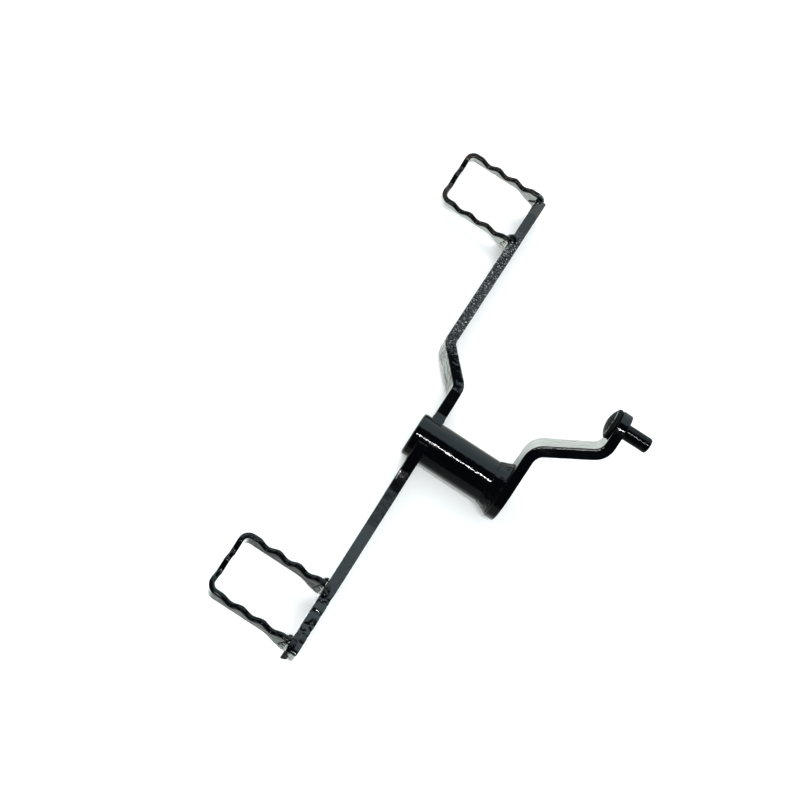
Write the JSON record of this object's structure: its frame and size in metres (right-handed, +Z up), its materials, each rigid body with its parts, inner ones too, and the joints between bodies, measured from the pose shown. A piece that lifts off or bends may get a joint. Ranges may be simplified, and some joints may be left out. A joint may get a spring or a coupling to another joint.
{
  "type": "heel and toe shift lever",
  "caption": "Heel and toe shift lever with strip foot pegs, a pivot tube and a joggled link arm that ends in a headed pin.",
  "frame": {"origin": "on the axis of the pivot bore, halfway along the pivot tube", "axes": "+X along the pivot tube towards the vehicle, +Y forward along the toe arm, +Z up"},
  "size_m": [0.1627, 0.3047, 0.0615],
  "materials": {
    "gloss_paint": "gloss black brushed paint over steel, slightly lumpy",
    "worn_paint": "gloss black paint worn thin on the crests, with traces of rust",
    "weld_paint": "gloss black paint over rough weld bead"
  },
  "bodies": {
    "root": {"pivot_tube": "gloss_paint", "front_arm": "gloss_paint", "rear_arm": "gloss_paint", "link_arm": "gloss_paint", "link_pin": "gloss_paint", "front_peg": "worn_paint", "rear_peg": "gloss_paint", "front_arm_weld": "weld_paint", "rear_arm_weld": "weld_paint", "link_arm_weld": "weld_paint", "front_peg_welds": "weld_paint", "rear_peg_welds": "weld_paint"}
  },
  "joints": []
}
